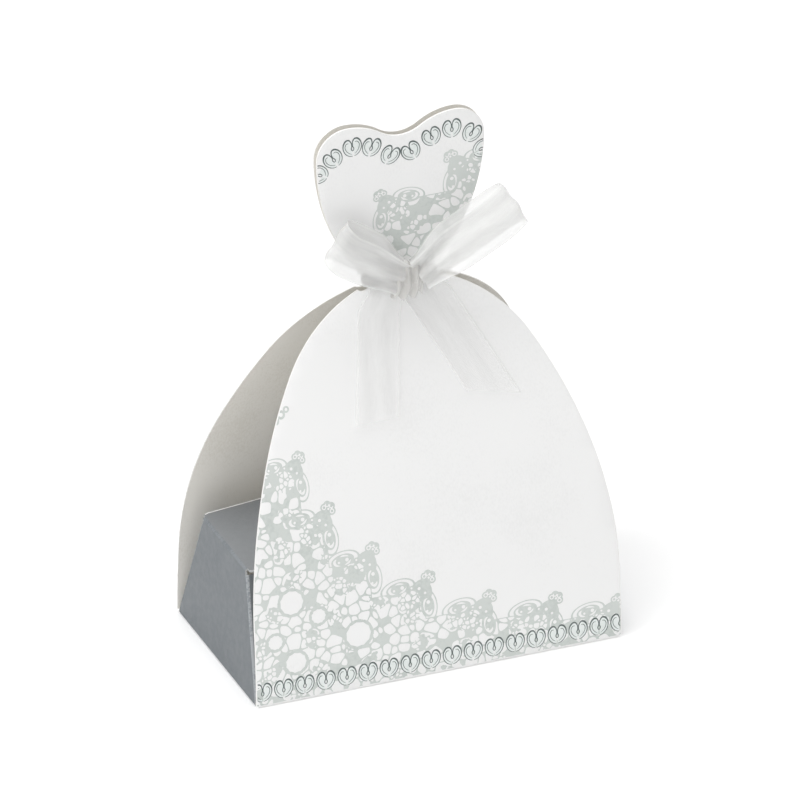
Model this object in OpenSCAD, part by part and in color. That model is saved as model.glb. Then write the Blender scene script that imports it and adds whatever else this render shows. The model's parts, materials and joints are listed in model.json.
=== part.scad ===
// Folded-card favour box in the shape of a bridal gown, tied at the waist with an organza bow.
// Origin: centre of the base, on the surface that it stands on. Front faces -Y, +X is right, +Z is up.
// Every crease of the card is a hinge line, so each panel between two creases is a solid of its own.

/* [Box] */
// Width of the base and of the straight foot of both skirts
base_w = 85; // [70:1:110]
// Depth of the base, from the front skirt's face to the back skirt's face
base_d = 47; // [40:1:56]
// Thickness of the card
card_t = 0.45; // [0.3:0.05:0.7]
// Slot that the score line leaves between two panels
crease_gap = 0.15; // [0.1:0.05:0.3]

/* [Skirts] */
// Height of the waist crease
waist_h = 86.5; // [78:0.5:104]
// How far from upright the skirts lean where they reach the waist, in degrees
waist_lean = 21; // [19:1:24]
// Half of the slit between the two skirts at the waist
waist_slit = 0.15; // [0.1:0.05:0.5]
// Height of the straight lower part of each side edge
hem_h = 17; // [10:1:22]
// Radius of the long curve of each side edge
side_r = 104; // [95:1:125]
// Height where the long curve turns into the shoulder
shoulder_h = 70; // [62:1:74]
// Radius of the shoulder
shoulder_r = 35; // [28:1:40]
// Radius of the notch that holds the ribbon
notch_r = 1.9; // [1.6:0.1:2.2]
// Width left between the two notches
neck_w = 13.8; // [11:0.2:17]

/* [Bodices] */
// Width across the two lobes
bodice_w = 38.8; // [34:0.2:46]
// Height of the lobes above the waist crease
bodice_h = 38.1; // [34:0.1:46]
// Radius of the outer corner of each lobe
lobe_r = 7; // [5:0.5:8]
// Radius of the inner slope of each lobe
lobe_slope_r = 14; // [12:0.5:15]
// Depth of the cleft below the lobes
cleft_depth = 3.8; // [3:0.1:4.4]
// Radius of the sides, from the lobes down to the waist
bodice_side_r = 46; // [44:1:60]
// How far each bodice leans outward, in degrees
bodice_splay = 1; // [1:0.5:4]

/* [Side walls] */
// Height of the crease at the top of each side wall
wall_h = 28; // [22:1:32]
// Width of that crease
wall_top_w = 25.6; // [20:0.2:27]
// How far the top of each side wall leans inward
wall_lean = 1.9; // [0:0.1:4]
// Length of the dust flap that folds in from that crease
dust_len = 30; // [20:1:32]
// Rise of the dust flap, in degrees
dust_rise = 5; // [0:1:8]
// How far the dust flap's ears reach past the crease
dust_ear = 1.1; // [0.2:0.1:1.5]
// Radius of those ears
dust_ear_r = 2.4; // [2:0.1:3]
// Length of the dust flap before its end tapers
dust_straight = 16; // [10:1:17]
// Width of the dust flap's free end
dust_end_w = 16; // [10:1:17]
// Width of each tuck flap at its top
tuck_w = 10; // [6:0.5:12]
// Width of each tuck flap at its foot
tuck_foot_w = 1.6; // [1:0.1:2]

/* [Ribbon] */
// Width of the ribbon
ribbon_w = 10; // [8:0.5:12]
// Thickness of the ribbon's loops and tails
ribbon_t = 0.5; // [0.3:0.1:0.8]
// Height of the gathered ribbon round the waist
tie_h = 2.2; // [1.6:0.1:2.4]
// Thickness of the gathered ribbon round the waist
tie_t = 1; // [0.8:0.1:1.4]
// Clearance between the gathered ribbon and the faces of the card
tie_gap = 0.3; // [0.2:0.05:0.5]
// Clearance between the gathered ribbon and the bottom of the notches
tie_side_gap = 0.6; // [0.5:0.05:0.8]
// Radius of the knot, seen from the front
knot_r = 4.9; // [4.4:0.1:5.5]
// Depth of the knot, front to back
knot_d = 5.4; // [4.5:0.1:6.5]
// Length of the left loop
left_loop_len = 17; // [14:0.5:19]
// Length of the right loop
right_loop_len = 24; // [18:0.5:26]
// Depth of each loop, between its two layers
loop_belly = 4; // [3:0.1:5]
// Slope of both loops above the horizontal, in degrees
loop_rise = 33; // [25:1:38]
// Turn of the right loop about its own length, in degrees
right_loop_turn = 20; // [0:1:30]
// Turn of the right loop towards the front, in degrees
right_loop_yaw = 8; // [0:1:15]
// Length of the left tail below the knot
left_tail_len = 27; // [20:1:32]
// Length of the right tail below the knot
right_tail_len = 29; // [20:1:32]
// Slope of the left tail from upright, in degrees
left_tail_slope = 10; // [4:1:14]
// Slope of the right tail from upright, in degrees
right_tail_slope = 28; // [22:1:34]
// Gap between the tails and the skirt that they hang on
tail_gap = 0.6; // [0.4:0.1:1]

/* [Hidden] */

$fn = 96;
// Fineness of the long, shallow curves
long_fn = 360;
// More than any outline or cut is across
far = 400;

card_white = "#f4f4f2";
card_grey = "#858c94";
organza = "#ffffff";

half_w = base_w / 2;
half_d = base_d / 2;
// What stands inside the skirts or the walls starts this far in from their outer faces
inset = card_t + crease_gap;
// Outer face of each skirt at the waist, from the middle plane
waist_y = waist_slit + card_t;

// The skirt rises as an arc that starts upright at the base and ends on the waist's lean
skirt_r = (waist_h * tan(waist_lean) - half_d + waist_y) / (1 / cos(waist_lean) - 1);
skirt_c = [skirt_r - half_d, 0];
lean_len = waist_h / cos(waist_lean) - skirt_r * tan(waist_lean);
curve_steps = 16;

// Side edge: a long arc tangent to the straight hem, then the shoulder's arc tangent to that
side_c = [half_w - side_r, hem_h];
shoulder_a = asin((shoulder_h - hem_h) / side_r);
shoulder_c = side_c + (side_r - shoulder_r) * [cos(shoulder_a), sin(shoulder_a)];
notch_x = neck_w / 2 + notch_r;

// Bodice, measured up from the waist crease
lobe_c = [bodice_w / 2 - lobe_r, bodice_h - lobe_r];
slope_c = [lobe_c[0], bodice_h - lobe_slope_r];
cleft_z = bodice_h - cleft_depth;
cleft_rise = cleft_z - slope_c[1];
cleft_r = (pow(slope_c[0], 2) + pow(cleft_rise, 2) - pow(lobe_slope_r, 2))
    / (2 * (lobe_slope_r - cleft_rise));
cleft_c = [0, cleft_z + cleft_r];
// Where the lobe's slope meets the cleft's hollow
cleft_join = slope_c + lobe_slope_r * (cleft_c - slope_c) / (lobe_slope_r + cleft_r);
bodice_side_c = [bodice_w / 2 - bodice_side_r, lobe_c[1]];

// Side wall's slanted edge, on the left front
wall_foot_y = half_d - inset;
wall_top_y = wall_top_w / 2;
wall_top_x = half_w - wall_lean;

// The skirts lean outward below the waist crease, so the tie clears them at its lower edge
tie_y = waist_y + tie_h / 2 * tan(waist_lean) + tie_gap;
tie_x = neck_w / 2 + tie_side_gap;
// Room in front of the tie for the front bodice to flex forward
knot_back = tie_y + tie_t + 0.25;
knot_y = knot_back + knot_d / 2;
knot_z = waist_h + 1.2;
// The loops leave the knot in front of its middle, clear of the front bodice
loop_y = knot_y + 1.1;
// How far from the knot's centre line the loops start, inside the knot
loop_start = 2.4;
// How far below the waist crease the tails start, behind the knot
tail_start = tie_h / 2 + 0.3;
// How far the tails start to either side of the knot's centre line
left_tail_x = 5.2;
right_tail_x = 3.8;
// Gap between the two tails behind the knot
tail_parting = 0.3;
// How far the gathers narrow each side of a tail at the knot, and over what length they fan out
tail_gather = 2;
tail_fan = 6;

// Card panels

// Points of a skirt's curve in the YZ plane, off outside its face, from the base to past the waist
function skirt_curve(off) = [
    for (i = [0 : curve_steps])
        let (a = waist_lean * i / curve_steps)
            skirt_c + (skirt_r + off) * [-cos(a), sin(a)],
    skirt_c + (skirt_r + off) * [-cos(waist_lean), sin(waist_lean)]
        + (lean_len + 1) * [sin(waist_lean), cos(waist_lean)]
];

function reversed(list) = [for (i = [len(list) - 1 : -1 : 0]) list[i]];

// Section of a skirt that starts off outside its face and is t thick
module skirt_section(off, t) {
    polygon(concat(skirt_curve(off), reversed(skirt_curve(off - t))));
}

// The same section as a sheet that spans the whole width
module skirt_sheet(off, t) {
    translate([-half_w, 0, 0])
        rotate([90, 0, 90])
            linear_extrude(base_w)
                skirt_section(off, t);
}

// Stands an outline drawn in X and Z up, as deep as the box
module upright(depth = 2 * far) {
    translate([0, depth / 2, 0])
        rotate([90, 0, 0])
            linear_extrude(depth)
                children();
}

// Right half of a skirt's outline, seen from the front
module skirt_half_outline() {
    square([half_w, hem_h]);
    intersection() {
        translate(side_c)
            circle(side_r, $fn = long_fn);
        translate([0, hem_h])
            square([half_w, shoulder_h - hem_h]);
    }
    intersection() {
        translate(shoulder_c)
            circle(shoulder_r, $fn = long_fn);
        translate([0, shoulder_h])
            square([half_w, waist_h - shoulder_h - crease_gap / 2]);
    }
    square([neck_w / 2 + notch_r / 2, waist_h - crease_gap / 2]);
}

module skirt_outline() {
    difference() {
        union() {
            skirt_half_outline();
            mirror([1, 0])
                skirt_half_outline();
        }
        notches(waist_h);
    }
}

module notches(height) {
    for (side = [-1, 1])
        translate([side * notch_x, height])
            circle(notch_r);
}

module skirt() {
    color(card_white)
        intersection() {
            skirt_sheet(0, card_t);
            upright()
                skirt_outline();
        }
}

// Right half of a bodice's outline, with the waist crease at height 0
module bodice_half_outline() {
    intersection() {
        translate(bodice_side_c)
            circle(bodice_side_r, $fn = long_fn);
        translate([0, crease_gap / 2])
            square([bodice_w, lobe_c[1] - crease_gap / 2]);
    }
    intersection() {
        translate(lobe_c)
            circle(lobe_r);
        translate([lobe_c[0], lobe_c[1] - 1])
            square([bodice_w, bodice_h]);
    }
    intersection() {
        translate(slope_c)
            circle(lobe_slope_r, $fn = long_fn);
        translate([cleft_join[0], lobe_c[1] - 1])
            square([lobe_c[0] - cleft_join[0], bodice_h]);
    }
    difference() {
        translate([0, lobe_c[1] - 1])
            square([cleft_join[0], cleft_join[1] - lobe_c[1] + 1]);
        translate(cleft_c)
            circle(cleft_r);
    }
}

module bodice_outline() {
    difference() {
        union() {
            bodice_half_outline();
            mirror([1, 0])
                bodice_half_outline();
        }
        notches(0);
    }
}

module bodice() {
    color(card_white)
        translate([0, -waist_slit, waist_h])
            rotate([bodice_splay, 0, 0])
                rotate([90, 0, 0])
                    linear_extrude(card_t)
                        bodice_outline();
}

module base_panel() {
    color(card_white)
        translate([-half_w + inset, -half_d + inset, 0])
            cube([base_w - 2 * inset, base_d - 2 * inset, card_t]);
}

// Left side wall: a trapezoid between the skirts, leaning inward
module side_wall() {
    top = wall_h - crease_gap;
    top_shift = wall_lean * top / wall_h;
    top_y = wall_foot_y + (wall_top_y - wall_foot_y) * top / wall_h;
    color(card_grey)
        intersection() {
            upright()
                polygon([
                    [-half_w, 0],
                    [-half_w + card_t, 0],
                    [-half_w + card_t + top_shift, top],
                    [-half_w + top_shift, top]
                ]);
            translate([-half_w, 0, 0])
                rotate([90, 0, 90])
                    linear_extrude(wall_lean + 2 * card_t)
                        polygon([[-wall_foot_y, 0], [wall_foot_y, 0], [top_y, top], [-top_y, top]]);
        }
}

// Left dust flap: rounded ears that flare from the crease, parallel sides, then a tapered end
module dust_flap() {
    half = wall_top_y + dust_ear;
    ear_y = half - dust_ear_r;
    ear_x = sqrt(pow(dust_ear_r, 2) - pow(wall_top_y - ear_y, 2));
    color(card_grey)
        translate([-wall_top_x, 0, wall_h])
            rotate([0, -dust_rise, 0])
                linear_extrude(card_t) {
                    polygon([
                        [0, -wall_top_y],
                        [ear_x, -half],
                        [dust_straight, -half],
                        [dust_len, -dust_end_w / 2],
                        [dust_len, dust_end_w / 2],
                        [dust_straight, half],
                        [ear_x, half],
                        [0, wall_top_y]
                    ]);
                    for (side = [-1, 1])
                        intersection() {
                            translate([ear_x, side * ear_y])
                                circle(dust_ear_r);
                            translate([0, -far / 2])
                                square(far);
                        }
                }
}

// Left front tuck flap: stands in from the wall's slanted edge, under the dust flap
module tuck_flap() {
    root = inset + 0.05;
    foot = card_t + 0.4;
    top = wall_h - 0.6;
    edge = function(z) wall_lean * z / wall_h;
    color(card_grey)
        intersection() {
            translate([-half_w, 0, 0])
                rotate([90, 0, 90])
                    linear_extrude(base_w / 2)
                        polygon([
                            [-wall_foot_y, 0],
                            [-wall_foot_y + card_t, 0],
                            [-wall_top_y + card_t, wall_h],
                            [-wall_top_y, wall_h]
                        ]);
            upright()
                polygon([
                    [-half_w + root + edge(foot), foot],
                    [-half_w + tuck_foot_w + edge(foot), foot],
                    [-half_w + tuck_w + edge(top), top - 4],
                    [-half_w + tuck_w + edge(top) - 2, top],
                    [-half_w + root + edge(top), top]
                ]);
        }
}

// Ribbon

// Gathered ribbon: half of a flat ring round the neck, in front of it
module waist_tie() {
    color(organza)
        translate([0, 0, waist_h - tie_h / 2])
            linear_extrude(tie_h)
                difference() {
                    tie_ring(tie_x + tie_t, tie_y + tie_t);
                    tie_ring(tie_x, tie_y);
                    translate([-far / 2, -waist_slit])
                        square(far);
                }
}

module tie_ring(x, y) {
    r = 0.6 * y;
    for (side_x = [-1, 1], side_y = [-1, 1])
        translate([side_x * (x - r), side_y * (y - r)])
            circle(r);
    translate([-x + r, -y])
        square([2 * (x - r), 2 * y]);
    translate([-x, -y + r])
        square([2 * x, 2 * (y - r)]);
}

module knot() {
    rim = knot_d / 2;
    color(organza)
        translate([0, -knot_y, knot_z])
            rotate([90, 0, 0])
                rotate_extrude() {
                    intersection() {
                        translate([knot_r - rim, 0])
                            circle(rim);
                        translate([knot_r - rim, -rim])
                            square([rim, knot_d]);
                    }
                    translate([0, -rim])
                        square([knot_r - rim, knot_d]);
                }
}

// Loop: a ribbon doubled back on itself, which starts at the knot and runs along +X
module loop(len) {
    belly = loop_belly / 2;
    color(organza)
        linear_extrude(ribbon_w, center = true)
            difference() {
                loop_outline(len, belly);
                loop_outline(len - ribbon_t, belly - ribbon_t);
            }
}

module loop_outline(len, r) {
    translate([len - r, 0])
        circle(r);
    polygon([[loop_start, -r / 2], [len - r, -r], [len - r, r], [loop_start, r / 2]]);
}

module left_loop() {
    translate([0, -loop_y, knot_z])
        rotate([0, -loop_rise, 180])
            loop(left_loop_len + loop_start);
}

module right_loop() {
    translate([0, -loop_y, knot_z])
        rotate([0, -loop_rise, -right_loop_yaw])
            rotate([-right_loop_turn, 0, 0])
                loop(right_loop_len + loop_start);
}

// Tail: lies over the front skirt, from below the knot to a slanted cut
module tail(x, len, slope, cut, side) {
    color(organza)
        intersection() {
            skirt_sheet(tail_gap + ribbon_t, ribbon_t);
            upright()
                intersection() {
                    translate([x, waist_h - tail_start])
                        rotate(side * slope)
                            polygon([
                                [-ribbon_w / 2 + tail_gather, tail_gather],
                                [-ribbon_w / 2, -tail_fan],
                                [-ribbon_w / 2, -len + side * cut / 2],
                                [ribbon_w / 2, -len - side * cut / 2],
                                [ribbon_w / 2, -tail_fan],
                                [ribbon_w / 2 - tail_gather, tail_gather]
                            ]);
                    translate([side * (far + tail_parting) / 2 - far / 2, 0])
                        square([far, waist_h - tail_start]);
                }
        }
}

module back() {
    mirror([0, 1, 0])
        children();
}

module right() {
    mirror([1, 0, 0])
        children();
}

base_panel();
skirt();  // front_skirt
back() skirt();  // back_skirt
bodice();  // front_bodice
back() bodice();  // back_bodice
side_wall();  // left_side_wall
right() side_wall();  // right_side_wall
dust_flap();  // left_dust_flap
right() dust_flap();  // right_dust_flap
tuck_flap();  // left_front_tuck_flap
back() tuck_flap();  // left_back_tuck_flap
right() tuck_flap();  // right_front_tuck_flap
right() back() tuck_flap();  // right_back_tuck_flap
waist_tie();  // front_waist_tie
back() waist_tie();  // back_waist_tie
knot();  // bow_knot
left_loop();  // bow_left_loop
right_loop();  // bow_right_loop
tail(-left_tail_x, left_tail_len, left_tail_slope, 2, -1);  // bow_left_tail
tail(right_tail_x, right_tail_len, right_tail_slope, 8, 1);  // bow_right_tail
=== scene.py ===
"""Looks of a favour box: printed card folded into a bridal gown and tied with an organza ribbon.

Shapes are worked out in millimetres, in the CAD model's frame, and turned into metres when a mesh is made.
"""

import json
import math

import bpy
import numpy as np
from mathutils import Euler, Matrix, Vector
from mathutils.geometry import delaunay_2d_cdt


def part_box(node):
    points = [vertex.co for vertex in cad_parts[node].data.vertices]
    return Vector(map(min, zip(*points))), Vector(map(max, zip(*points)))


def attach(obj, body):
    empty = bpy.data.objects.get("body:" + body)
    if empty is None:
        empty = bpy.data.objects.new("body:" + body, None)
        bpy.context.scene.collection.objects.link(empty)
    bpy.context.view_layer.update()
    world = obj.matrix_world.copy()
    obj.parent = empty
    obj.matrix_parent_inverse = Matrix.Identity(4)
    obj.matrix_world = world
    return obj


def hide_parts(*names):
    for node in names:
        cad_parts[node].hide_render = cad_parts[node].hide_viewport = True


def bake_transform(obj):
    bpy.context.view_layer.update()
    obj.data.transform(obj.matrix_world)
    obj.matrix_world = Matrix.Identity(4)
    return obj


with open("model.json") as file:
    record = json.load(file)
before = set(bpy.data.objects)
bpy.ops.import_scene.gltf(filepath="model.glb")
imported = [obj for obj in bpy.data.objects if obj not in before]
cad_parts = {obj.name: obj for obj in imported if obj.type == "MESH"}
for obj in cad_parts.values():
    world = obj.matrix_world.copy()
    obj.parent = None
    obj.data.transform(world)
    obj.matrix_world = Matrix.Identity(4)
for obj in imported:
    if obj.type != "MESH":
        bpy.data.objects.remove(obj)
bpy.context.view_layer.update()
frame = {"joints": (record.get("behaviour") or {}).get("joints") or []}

MM = 0.001
scene = bpy.context.scene


# ---- sizes from the frame

def corners(node):
    """Lowest and highest corner of a CAD node, in millimetres."""
    low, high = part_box(node)
    return np.array(low) / MM, np.array(high) / MM


joints = {joint["name"]: joint for joint in frame["joints"]}


def hinge_at(joint):
    return np.array(joints[joint]["pos_m"]) / MM


half_w = corners("front_skirt")[1][0]
half_d = -corners("front_skirt")[0][1]
card_t = corners("base_panel")[1][2]
base_half_w = corners("base_panel")[1][0]
waist_h = hinge_at("front_bodice_flex")[2]
waist_y = -hinge_at("front_bodice_flex")[1]
wall_h = hinge_at("left_dust_flap_fold")[2]
wall_lean = half_w + hinge_at("left_dust_flap_fold")[0]
wall_foot_y = corners("left_side_wall")[1][1]
knot_low, knot_high = corners("bow_knot")
knot_mid = (knot_low + knot_high) / 2
knot_half = (knot_high - knot_low) / 2
tie_low, tie_high = corners("front_waist_tie")
tie_half = (tie_high[2] - tie_low[2]) / 2

# Sizes of the design that no box gives, as the CAD model has them
waist_lean = math.radians(21)
hem_h = 17
side_r = 104
shoulder_h = 70
shoulder_r = 35
notch_r = 1.9
neck_w = 13.8
bodice_w = 38.8
bodice_h = 38.1
lobe_r = 7
lobe_slope_r = 14
cleft_depth = 3.8
bodice_side_r = 46
bodice_splay = math.radians(1)
wall_top_y = 12.8
dust_len = 30
dust_rise = math.radians(5)
dust_ear = 1.1
dust_ear_r = 2.4
dust_straight = 16
dust_end_w = 16
tuck_w = 10
tuck_foot_w = 1.6
ribbon_w = 10
loop_start = 2.4
loop_belly = 4
loop_rise = 33
left_loop_len = 19.4
right_loop_len = 26.4
right_loop_turn = 20
right_loop_yaw = 8
left_tail_slope = math.radians(10)
right_tail_slope = math.radians(28)
left_tail_x = 5.2
right_tail_x = 3.8
left_tail_len = 27.5
right_tail_len = 29

notch_x = neck_w / 2 + notch_r
# Outer radius of a crease: the card bends round it and doesn't break
crease_r = 0.6

skirt_r = (waist_h * math.tan(waist_lean) - half_d + waist_y) / (1 / math.cos(waist_lean) - 1)
curve_top = skirt_r * math.sin(waist_lean)


# ---- mesh making

def placed(name, data):
    """A new object in the scene."""
    thing = bpy.data.objects.new(name, data)
    scene.collection.objects.link(thing)
    return thing


def make_object(name, points, faces, materials, indices=None, sharp=40):
    """A mesh object from points in millimetres. faces is a list of index arrays, with a row for each face."""
    mesh = bpy.data.meshes.new(name)
    groups = [np.asarray(group) for group in faces]
    sizes = np.concatenate([np.full(len(group), group.shape[1]) for group in groups])
    loops = np.concatenate([group.ravel() for group in groups])
    mesh.vertices.add(len(points))
    mesh.vertices.foreach_set("co", (np.asarray(points, float) * MM).ravel())
    mesh.loops.add(len(loops))
    mesh.loops.foreach_set("vertex_index", loops.astype(np.int32))
    mesh.polygons.add(len(sizes))
    starts = np.concatenate([[0], np.cumsum(sizes)[:-1]])
    mesh.polygons.foreach_set("loop_start", starts.astype(np.int32))
    for material in materials:
        mesh.materials.append(material)
    if indices is not None:
        mesh.polygons.foreach_set("material_index", np.asarray(indices, np.int32))
    mesh.update(calc_edges=True)
    mesh.validate()
    mesh.polygons.foreach_set("use_smooth", np.ones(len(mesh.polygons), bool))
    mesh.set_sharp_from_angle(angle=math.radians(sharp))
    return placed(name, mesh)


def set_uv(thing, name, uv):
    """Sets a UV map from one pair for each loop."""
    layer = thing.data.uv_layers.new(name=name)
    layer.data.foreach_set("uv", np.asarray(uv, np.float32).ravel())


def arc(centre, radius, start, end, step=0.8):
    """Points of an arc from one angle to another, in radians, without its last point."""
    count = max(2, math.ceil(abs(end - start) * radius / step))
    angles = np.linspace(start, end, count, endpoint=False)
    return [(centre[0] + radius * math.cos(a), centre[1] + radius * math.sin(a)) for a in angles]


def line(start, end, step=1.2):
    """Points of a straight line, without its last point."""
    count = max(1, math.ceil(math.dist(start, end) / step))
    return [tuple(np.array(start) + (np.array(end) - np.array(start)) * i / count) for i in range(count)]


def unit(v):
    v = np.array(v, float)
    return v / np.linalg.norm(v)


def angle_to(centre, point):
    return math.atan2(point[1] - centre[1], point[0] - centre[0])


def meet(centre_a, radius_a, centre_b, radius_b, upper):
    """Where two circles cross, the upper or the lower of the two points."""
    a, b = np.array(centre_a, float), np.array(centre_b, float)
    gap = np.linalg.norm(b - a)
    forward = (radius_a**2 - radius_b**2 + gap**2) / (2 * gap)
    aside = math.sqrt(radius_a**2 - forward**2)
    along = (b - a) / gap
    both = [a + forward * along + k * aside * np.array([-along[1], along[0]]) for k in (-1, 1)]
    return tuple(sorted(both, key=lambda p: p[1])[1 if upper else 0])


def densified(points, step):
    """A closed polygon with no edge longer than step."""
    out = []
    for i, p in enumerate(points):
        out += line(p, points[(i + 1) % len(points)], step)
    return out


def mirrored(half):
    """A whole outline from its right half, which runs from the bottom's middle to the top's middle."""
    left = [(-x, y) for x, y in reversed(half) if abs(x) > 1e-6]
    return half + left


def inside(points, outline):
    """Which points lie inside a polygon."""
    x, y = points[:, 0], points[:, 1]
    result = np.zeros(len(points), bool)
    for (x0, y0), (x1, y1) in zip(outline, outline[1:] + outline[:1]):
        if y0 == y1:
            continue
        crosses = (y0 > y) != (y1 > y)
        result ^= crosses & (x < (x1 - x0) * (y - y0) / (y1 - y0) + x0)
    return result


def open_edges(faces):
    """Edges that only one face has, as index pairs in that face's direction."""
    around = range(faces.shape[1])
    edges = np.vstack([faces[:, [k, (k + 1) % len(around)]] for k in around]).tolist()
    known = {tuple(e) for e in edges}
    return np.array([e for e in edges if (e[1], e[0]) not in known])


def compacted(faces):
    """The points that groups of faces use, and the same groups numbered by them."""
    used, renumbered = np.unique(np.concatenate([f.ravel() for f in faces]), return_inverse=True)
    parts = np.split(renumbered, np.cumsum([f.size for f in faces])[:-1])
    return used, [part.reshape(f.shape) for part, f in zip(parts, faces)]


# ---- card panels

class Panel:
    """A card panel and the crease it hangs on.

    s runs along the crease, and t away from it over the outer face."""

    def __init__(self, corner, along, away, outward, bend, radius=crease_r, curve=None):
        self.corner = np.array(corner, float)
        self.along = unit(along)
        self.away = unit(away)
        self.outward = unit(outward)
        self.radius = radius
        self.tangent = abs(radius) * math.tan(bend / 2)
        self.foot = self.tangent - abs(radius) * bend
        self.curve = curve or (lambda t: (t, 0 * t, 0 * t))

    def place(self, s, t, depth=0.0):
        """Points depth inside the panel's outer face. Below t = tangent the card bends round the crease."""
        s, t, depth = (np.asarray(v, float)[..., None] for v in np.broadcast_arrays(s, t, depth))
        up, inward, lean = self.curve(np.maximum(t, self.tangent))
        normal = np.cos(lean) * self.outward + np.sin(lean) * self.away
        line_point = self.corner + s * self.along
        flat = line_point + up * self.away - inward * self.outward - depth * normal
        turn = (self.tangent - t) / self.radius
        centre = line_point + self.tangent * self.away - self.radius * self.outward
        folded = centre + (self.radius - depth) * (np.cos(turn) * self.outward - np.sin(turn) * self.away)
        return np.where(t < self.tangent, folded, flat)

    def flattened(self, point):
        """A point of the panel's plane, as its s and t."""
        off = point - self.corner
        return float(off @ self.along), float(off @ self.away)

    def bends_with(self, piece):
        """Bakes the piece's place into its mesh. The crease's start and end are worked out, but nothing uses
        them.
        """
        start, end = (self.place(0.0, t) * MM for t in (self.foot, self.tangent))
        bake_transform(piece)


# Edges of a card's triangles along its outline and across its fold, and their distance from the outline
edge_step = 1.5
fold_step = 0.12
edge_clear = 0.6
fold_clear = 0.4
# How far up from the fold a cut edge starts to chip, and how deep a chip is
chip_start = 0.1
chip_slope = 0.4
chip_depth = 0.1


def card_triangles(panel, outline, step):
    """An outline filled with triangles, as points in s and t and index triples.

    The fold is stretched while it is cut up, so that no triangle spans its curve."""
    stretch = edge_step / fold_step
    fine = []
    for i, p in enumerate(outline):
        q = outline[(i + 1) % len(outline)]
        in_fold = min(p[1], q[1]) < panel.tangent + 0.1 and abs(p[1] - q[1]) > fold_step
        fine += line(p, q, fold_step if in_fold else edge_step)

    def stretched(flat, factor):
        s, past = flat[:, 0], flat[:, 1] - panel.tangent
        return np.column_stack([s, panel.tangent + np.where(past < 0, past * factor, past)])

    (first_s, low), (last_s, high) = np.min(outline, axis=0), np.max(outline, axis=0)
    rows = np.arange(max(low, panel.tangent + fold_clear), high, step[1])
    grid = [(s, t) for t in rows for s in np.arange(first_s, last_s, step[0])]
    if low < panel.tangent - 1e-6:
        fold_rows = np.linspace(low, panel.tangent, math.ceil((panel.tangent - low) / fold_step) + 1)[1:]
        grid += [(s, t) for t in fold_rows for s in np.arange(first_s + edge_step / 2, last_s, edge_step)]
    grid = np.array(grid)
    grid = stretched(grid[inside(grid, fine)], stretch)
    edge = stretched(np.array(fine), stretch)
    gap = np.array([np.min(np.hypot(*(edge - p).T)) for p in grid])
    points = [Vector(p) for p in np.vstack([edge, grid[gap > edge_clear]])]
    made = delaunay_2d_cdt(points, [], [list(range(len(edge)))], 1, 1e-7)
    flat, triangles = (np.array([tuple(item) for item in made[k]]) for k in (0, 2))
    return stretched(flat, 1 / stretch), triangles


def rim_inward(flat, rim):
    """For each point on the outline, the way in from it. Other points have none."""
    side = np.zeros(flat.shape)
    first, last = flat[rim[:, 0]], flat[rim[:, 1]]
    across = (last - first)[:, ::-1] * (-1, 1)
    across /= np.linalg.norm(across, axis=1)[:, None]
    for k in (0, 1):
        np.add.at(side, rim[:, k], across)
    area = np.sum(first[:, 0] * last[:, 1] - first[:, 1] * last[:, 0])
    return side * (np.sign(area) / np.maximum(np.linalg.norm(side, axis=1), 1e-9)[:, None])


def card_piece(name, panel, outline, materials, step=(3.0, 2.0), cut=0.12, ends_at=math.inf):
    """A sheet of card from its outline in s and t: outer face, inner face, cut edge and crease, which on grey
    card is lighter, partly wear and partly a painted highlight along the fold.

    cut is how far the print has chipped back at a cut edge, or a function that gives it for each s and t.
    The edge at t = ends_at is a crease and isn't cut. materials are for the outer face, the inner face, the
    cut edge, the crease and the chips, which look like the cut edge if theirs is left out."""
    flat, triangles = card_triangles(panel, outline, step)
    s, t = flat.T
    a, b, c = (panel.place(s, t)[triangles[:, k]] for k in range(3))
    if np.median(np.cross(b - a, c - a) @ panel.outward) < 0:
        triangles = triangles[:, ::-1]
    rim = open_edges(triangles)
    is_cut = (t > panel.tangent + chip_start) & (t < ends_at - 0.02)
    chip = (cut(flat) if callable(cut) else cut) * is_cut
    chipped = flat + rim_inward(flat, rim) * chip[:, None]
    outer = panel.place(chipped[:, 0], chipped[:, 1])
    shoulder = panel.place(s, t, np.minimum(chip * chip_slope, chip_depth))
    points = np.vstack([outer, panel.place(s, t, card_t), shoulder])

    inner_from, shoulder_from = len(flat), 2 * len(flat)
    rim_cut = is_cut[rim].any(axis=1)
    rim_faces = np.column_stack([rim[:, ::-1] + shoulder_from * rim_cut[:, None], rim + inner_from])
    chip_faces = np.column_stack([rim[:, ::-1], rim + shoulder_from])[rim_cut]
    # Faces in the fold take the crease material; on grey card it is lighter, partly wear and partly a painted
    # highlight.
    fold_wear_and_highlight = t[triangles].mean(axis=1) < panel.tangent - 1e-4
    chip_index = 4 if len(materials) > 4 else 2
    indices = [np.where(fold_wear_and_highlight, 3, 0), np.ones(len(triangles)), np.full(len(rim), 2)]
    indices.append(np.full(len(chip_faces), chip_index))
    used, faces = compacted([triangles, triangles[:, ::-1] + inner_from, rim_faces, chip_faces])
    return make_object(name, points[used], faces, materials, np.concatenate(indices))


def skirt_curve(t):
    """Height, inward offset and lean of a skirt's face. It starts upright and ends on the waist's lean."""
    bowed = np.minimum(t, curve_top)
    inward = skirt_r - np.sqrt(skirt_r**2 - bowed**2) + (t - bowed) * math.tan(waist_lean)
    return t, inward, np.arcsin(bowed / skirt_r)


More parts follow.
